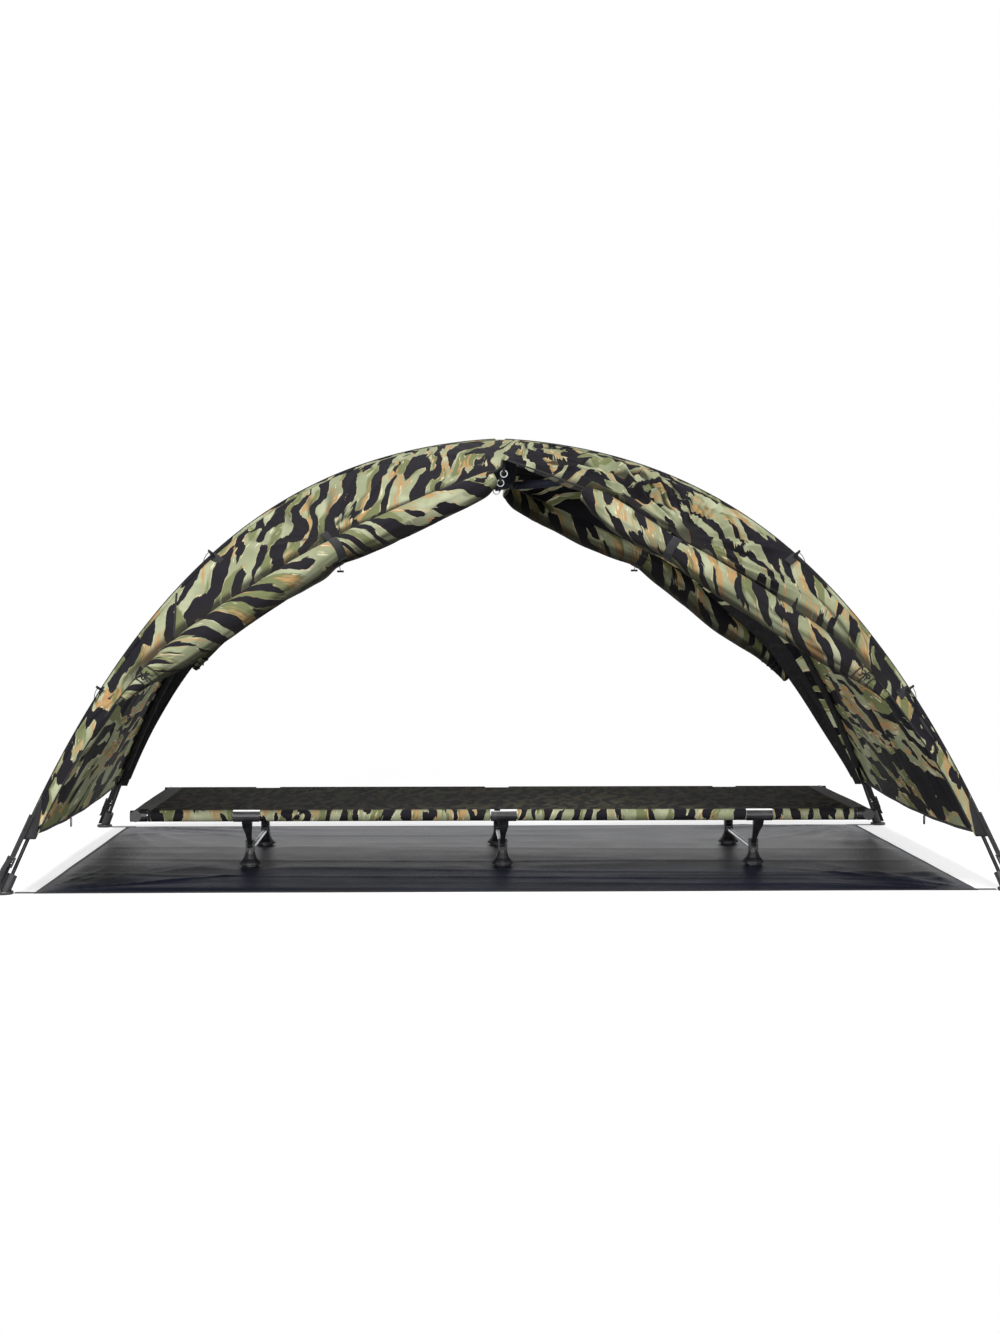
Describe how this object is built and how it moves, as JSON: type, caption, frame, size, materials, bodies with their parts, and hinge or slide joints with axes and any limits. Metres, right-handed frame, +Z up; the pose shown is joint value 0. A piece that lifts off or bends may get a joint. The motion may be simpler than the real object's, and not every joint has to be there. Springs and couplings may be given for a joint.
{
  "type": "camping tent",
  "caption": "Crossed-pole dome fly in striped camouflage, side doors rolled up, over a ground sheet and a low cot on locking legs.",
  "frame": {"origin": "on the ground under the middle of the tent", "axes": "+X along the cot, towards the right-hand end; -Y towards the open front side; +Z up"},
  "size_m": [2.4202, 1.541, 1.1236],
  "materials": {
    "camo_cloth": "coated ripstop",
    "sheet_cloth": "coated, satin",
    "webbing": "woven tape",
    "navy_cloth": "woven",
    "black_plastic": "matt",
    "black_tube": "black anodised",
    "bare_metal": "satin"
  },
  "bodies": {
    "tent": {"fly_hood": "camo_cloth", "fly_end_left": "camo_cloth", "fly_end_right": "camo_cloth", "fly_strip_front_left": "camo_cloth", "fly_strip_front_right": "camo_cloth", "fly_strip_back_left": "camo_cloth", "fly_strip_back_right": "camo_cloth", "door_roll_front_left": "camo_cloth", "door_roll_front_right": "camo_cloth", "door_roll_back_left": "camo_cloth", "door_roll_back_right": "camo_cloth", "pole_front_left": "black_tube", "pole_front_right": "black_tube", "pole_back_left": "black_tube", "pole_back_right": "black_tube", "pole_sleeve_front_left": "webbing", "pole_sleeve_front_right": "webbing", "pole_sleeve_back_left": "webbing", "pole_sleeve_back_right": "webbing", "foot_socket_front_left": "black_plastic", "foot_socket_front_right": "black_plastic", "foot_socket_back_left": "black_plastic", "foot_socket_back_right": "black_plastic", "corner_strap_front_left": "webbing", "corner_strap_front_right": "webbing", "corner_strap_back_left": "webbing", "corner_strap_back_right": "webbing", "crossing_hub": "black_plastic", "hub_cover": "navy_cloth", "apex_strap": "navy_cloth", "ground_sheet": "sheet_cloth", "zip_flap_front": "webbing", "zip_flap_back": "webbing"},
    "zip_pull_front_left": {"zip_pull_front_left": "bare_metal"},
    "zip_pull_front_right": {"zip_pull_front_right": "bare_metal"},
    "zip_pull_back_left": {"zip_pull_back_left": "bare_metal"},
    "zip_pull_back_right": {"zip_pull_back_right": "bare_metal"},
    "hem_loop_left": {"hem_loop_left": "webbing"},
    "hem_loop_right": {"hem_loop_right": "webbing"},
    "cot": {"cot_deck": "camo_cloth", "cot_end_frame_left": "black_plastic", "cot_end_frame_right": "black_plastic", "cot_side_rail_front": "bare_metal", "cot_side_rail_back": "bare_metal", "cross_bar_left": "bare_metal", "leg_foot_front_left": "black_plastic", "leg_foot_back_left": "black_plastic", "cross_bar_centre": "bare_metal", "leg_foot_front_centre": "black_plastic", "leg_foot_back_centre": "black_plastic", "cross_bar_right": "bare_metal", "leg_foot_front_right": "black_plastic", "leg_foot_back_right": "black_plastic"},
    "leg_lever_front_left": {"leg_lever_front_left": "black_plastic"},
    "leg_lever_back_left": {"leg_lever_back_left": "black_plastic"},
    "leg_lever_front_centre": {"leg_lever_front_centre": "black_plastic"},
    "leg_lever_back_centre": {"leg_lever_back_centre": "black_plastic"},
    "leg_lever_front_right": {"leg_lever_front_right": "black_plastic"},
    "leg_lever_back_right": {"leg_lever_back_right": "black_plastic"}
  },
  "joints": [
    {"name": "zip_pull_front_left_hinge", "type": "hinge", "parent": "tent", "child": "zip_pull_front_left", "pos_m": [-0.0045, -0.202, 1.00551], "axis": [-1, 0, 0], "range_deg": [0, 90]},
    {"name": "zip_pull_front_right_hinge", "type": "hinge", "parent": "tent", "child": "zip_pull_front_right", "pos_m": [0.0045, -0.202, 1.02951], "axis": [-1, 0, 0], "range_deg": [0, 90]},
    {"name": "zip_pull_back_left_hinge", "type": "hinge", "parent": "tent", "child": "zip_pull_back_left", "pos_m": [-0.0045, 0.202, 1.00551], "axis": [1, 0, 0], "range_deg": [0, 90]},
    {"name": "zip_pull_back_right_hinge", "type": "hinge", "parent": "tent", "child": "zip_pull_back_right", "pos_m": [0.0045, 0.202, 1.02951], "axis": [1, 0, 0], "range_deg": [0, 90]},
    {"name": "hem_loop_left_hinge", "type": "hinge", "parent": "tent", "child": "hem_loop_left", "pos_m": [-1.15883, 0, 0.10153], "axis": [0, 1, 0], "range_deg": [-60, 60]},
    {"name": "hem_loop_right_hinge", "type": "hinge", "parent": "tent", "child": "hem_loop_right", "pos_m": [1.15883, 0, 0.10153], "axis": [0, 1, 0], "range_deg": [-60, 60]},
    {"name": "cot_slide", "type": "slide", "parent": "tent", "child": "cot", "axis": [0, -1, 0], "range_m": [0, 1.2]},
    {"name": "leg_lever_front_left_hinge", "type": "hinge", "parent": "cot", "child": "leg_lever_front_left", "pos_m": [-0.655, -0.24, 0.058], "axis": [1, 0, 0], "range_deg": [0, 50]},
    {"name": "leg_lever_back_left_hinge", "type": "hinge", "parent": "cot", "child": "leg_lever_back_left", "pos_m": [-0.655, 0.24, 0.058], "axis": [-1, 0, 0], "range_deg": [0, 50]},
    {"name": "leg_lever_front_centre_hinge", "type": "hinge", "parent": "cot", "child": "leg_lever_front_centre", "pos_m": [0, -0.24, 0.058], "axis": [1, 0, 0], "range_deg": [0, 50]},
    {"name": "leg_lever_back_centre_hinge", "type": "hinge", "parent": "cot", "child": "leg_lever_back_centre", "pos_m": [0, 0.24, 0.058], "axis": [-1, 0, 0], "range_deg": [0, 50]},
    {"name": "leg_lever_front_right_hinge", "type": "hinge", "parent": "cot", "child": "leg_lever_front_right", "pos_m": [0.655, -0.24, 0.058], "axis": [1, 0, 0], "range_deg": [0, 50]},
    {"name": "leg_lever_back_right_hinge", "type": "hinge", "parent": "cot", "child": "leg_lever_back_right", "pos_m": [0.655, 0.24, 0.058], "axis": [-1, 0, 0], "range_deg": [0, 50]}
  ]
}
